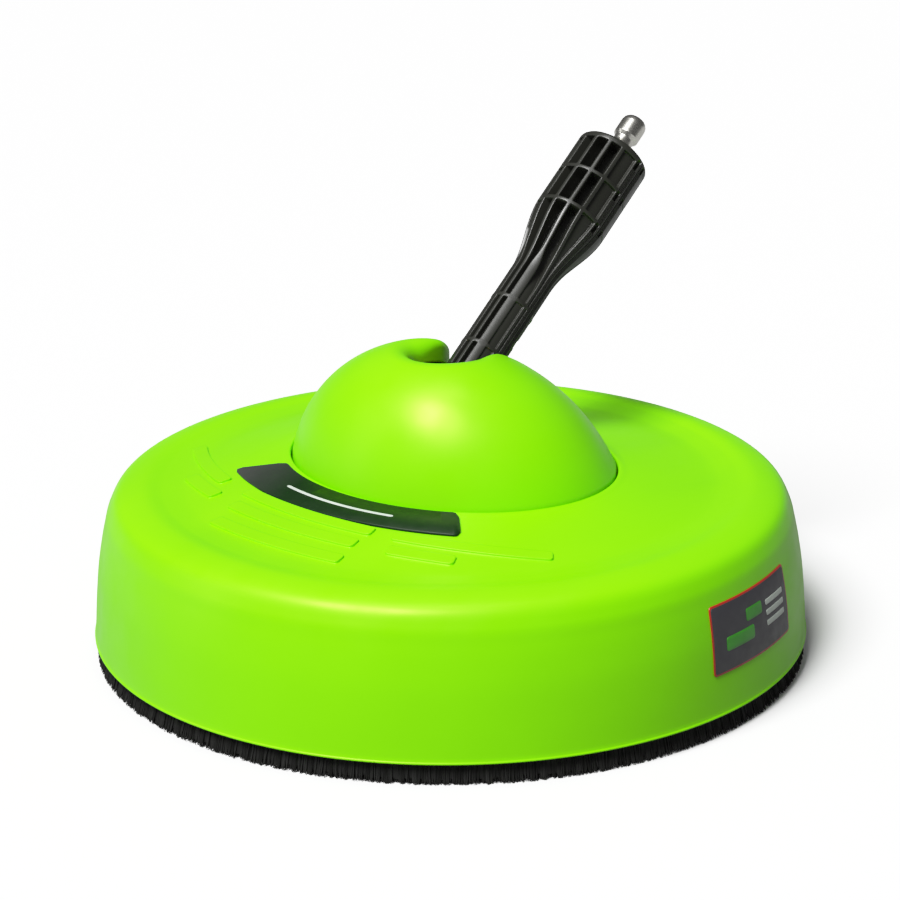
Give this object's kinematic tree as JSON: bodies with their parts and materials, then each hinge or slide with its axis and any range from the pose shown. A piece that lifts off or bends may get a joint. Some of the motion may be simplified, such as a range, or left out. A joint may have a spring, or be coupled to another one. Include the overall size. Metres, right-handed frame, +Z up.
{
  "type": "surface cleaner",
  "caption": "Round floor-cleaning head for a pressure washer: domed deck on a bristle skirt, tilting lance with a quick-connect plug, spinning spray bar under the deck.",
  "frame": {"origin": "centre of the round footprint, on the ground under the bristle tips", "axes": "+Z up along the spray bar's spin axis, -Y towards the badge at the front, +Y the way the lance leans, +X along the tilt axle towards the side label"},
  "size_m": [0.305, 0.305, 0.2038],
  "materials": {
    "green_plastic": "satin moulded plastic",
    "black_plastic": "satin moulded plastic",
    "charcoal_film": "smooth charcoal badge",
    "label_film": "printed film",
    "bristle_nylon": "dense nylon bristles",
    "stainless": "turned stainless steel",
    "brass": "machined brass",
    "zinc_steel": "zinc-plated steel",
    "aluminium": "machined aluminium",
    "seal_rubber": "nitrile rubber",
    "bush_plastic": "natural acetal"
  },
  "bodies": {
    "deck": {"deck_shell": "green_plastic", "dome_cover": "green_plastic", "badge_plate": "charcoal_film", "side_label": "label_film", "brush_carrier": "black_plastic", "bristle_skirt": "bristle_nylon", "splash_plate": "black_plastic", "plate_screw_1": "zinc_steel", "plate_screw_2": "zinc_steel", "plate_screw_3": "zinc_steel", "plate_screw_4": "zinc_steel", "dome_screw_1": "zinc_steel", "dome_screw_2": "zinc_steel", "dome_screw_3": "zinc_steel", "dome_screw_4": "zinc_steel", "swivel_screw_1": "zinc_steel", "swivel_screw_2": "zinc_steel", "swivel_screw_3": "zinc_steel", "swivel_screw_4": "zinc_steel", "pivot_cradle": "black_plastic", "pivot_bush_left": "bush_plastic", "pivot_bush_right": "bush_plastic", "pivot_axle": "stainless", "axle_clip": "zinc_steel", "axle_seal_left": "seal_rubber", "axle_seal_right": "seal_rubber", "feed_elbow_upper": "brass", "feed_pipe": "stainless", "feed_elbow_lower": "brass", "inlet_cap": "brass", "swivel_housing": "aluminium", "bearing_outer_upper": "zinc_steel", "bearing_outer_lower": "zinc_steel", "shaft_seal": "seal_rubber", "housing_clip": "zinc_steel"},
    "lance": {"lance_shell_upper": "black_plastic", "lance_shell_lower": "black_plastic", "lance_tube": "stainless", "inlet_plug": "stainless", "pivot_knuckle": "brass", "lance_screw_1": "zinc_steel", "lance_screw_2": "zinc_steel", "lance_screw_3": "zinc_steel", "lance_screw_4": "zinc_steel"},
    "rotor": {"spindle": "stainless", "bearing_inner_upper": "zinc_steel", "bearing_inner_lower": "zinc_steel", "rotor_hub": "brass", "hub_plug": "zinc_steel", "spray_arm_left": "stainless", "spray_arm_right": "stainless", "nozzle_holder_left": "black_plastic", "nozzle_holder_right": "black_plastic", "nozzle_left": "brass", "nozzle_right": "brass"},
    "ball_cages": {"ball_cage_upper": "brass", "ball_cage_lower": "brass"}
  },
  "joints": [
    {"name": "lance_tilt", "type": "hinge", "parent": "deck", "child": "lance", "pos_m": [0, 0, 0.1066], "axis": [1, 0, 0], "range_deg": [-30, 54]},
    {"name": "rotor_spin", "type": "hinge", "parent": "deck", "child": "rotor", "pos_m": [0, 0, 0.028], "axis": [0, 0, 1], "continuous": true},
    {"name": "cage_spin", "type": "hinge", "parent": "deck", "child": "ball_cages", "pos_m": [0, 0, 0.048], "axis": [0, 0, 1], "continuous": true}
  ],
  "couplings": [
    {"joint": "cage_spin", "follows": "rotor_spin", "ratio": 0.4}
  ]
}
